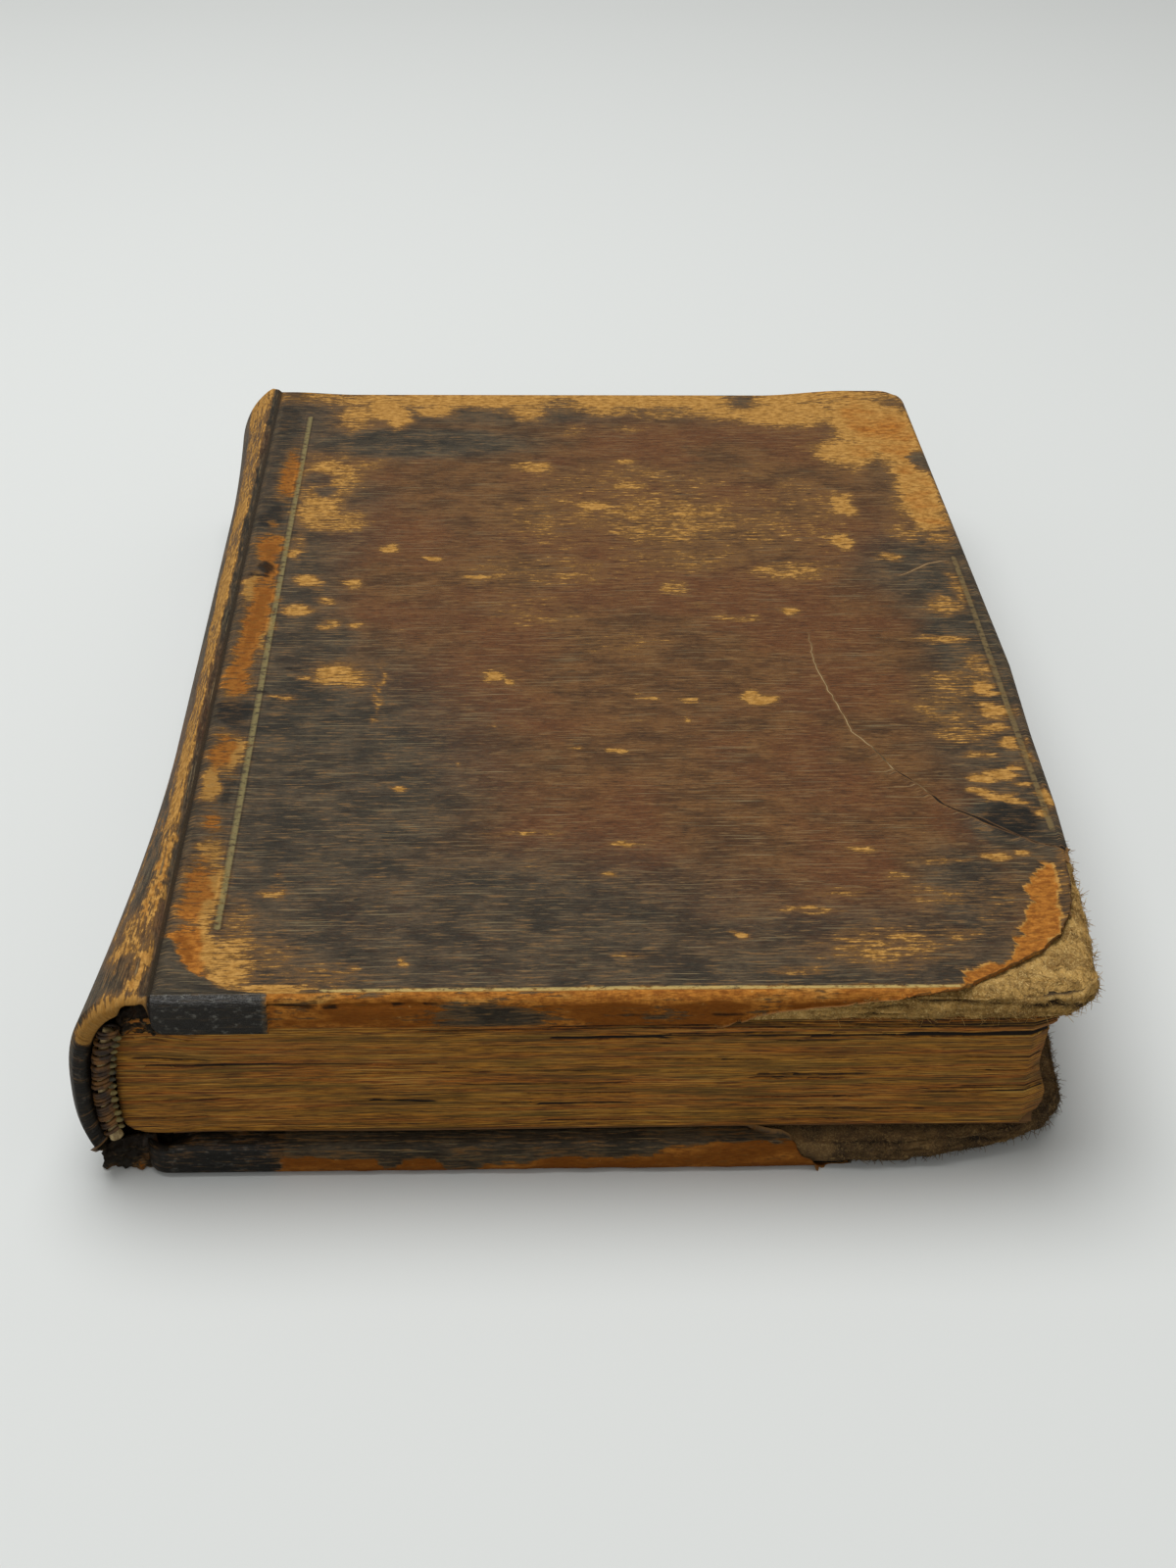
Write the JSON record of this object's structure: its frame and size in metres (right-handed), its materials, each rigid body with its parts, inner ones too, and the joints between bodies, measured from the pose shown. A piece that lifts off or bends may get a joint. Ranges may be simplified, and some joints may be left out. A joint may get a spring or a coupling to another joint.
{
  "type": "hardback book",
  "caption": "Closed leather-bound hardback book with a hollow back, laced boards, endbands and worn corners, lying on its back cover.",
  "frame": {"origin": "centre of the base of the closed book, on the surface that its back cover lies on", "axes": "+X from the spine to the fore edge, +Y from the tail to the head, +Z from the back cover to the front cover"},
  "size_m": [0.1279, 0.186, 0.0275],
  "materials": {
    "leather": "worn calf, dark brown to black, rubbed through to tan",
    "pasteboard": "laminated fibrous pasteboard, bare and frayed at the worn corners",
    "leaves": "aged rag paper, cut edges toned brown",
    "endpaper": "aged plain paper",
    "spine_paper": "brown waste paper, pasted",
    "cord": "twisted hemp cord",
    "endband_core": "rolled cream linen",
    "endband_silk": "faded silk thread in two colours"
  },
  "bodies": {
    "back_cover": {"back_board": "pasteboard", "back_leather": "leather", "back_pastedown": "endpaper", "back_slip_1": "cord", "back_slip_2": "cord", "back_slip_3": "cord", "back_slip_4": "cord", "back_slip_5": "cord"},
    "text_block": {"text_block": "leaves", "front_flyleaf": "endpaper", "back_flyleaf": "endpaper", "spine_lining": "spine_paper", "sewing_cord_1": "cord", "sewing_cord_2": "cord", "sewing_cord_3": "cord", "sewing_cord_4": "cord", "sewing_cord_5": "cord", "tail_endband_core": "endband_core", "tail_endband_thread": "endband_silk", "head_endband_core": "endband_core", "head_endband_thread": "endband_silk", "spine_card": "spine_paper", "spine_leather": "leather"},
    "front_cover": {"front_board": "pasteboard", "front_leather": "leather", "front_pastedown": "endpaper", "front_slip_1": "cord", "front_slip_2": "cord", "front_slip_3": "cord", "front_slip_4": "cord", "front_slip_5": "cord"}
  },
  "joints": [
    {"name": "back_cover_hinge", "type": "hinge", "parent": "back_cover", "child": "text_block", "pos_m": [-0.05303, 0, 0], "axis": [0, -1, 0], "range_deg": [0, 90]},
    {"name": "front_cover_hinge", "type": "hinge", "parent": "text_block", "child": "front_cover", "pos_m": [-0.05303, 0, 0.0275], "axis": [0, -1, 0], "range_deg": [0, 180]}
  ]
}
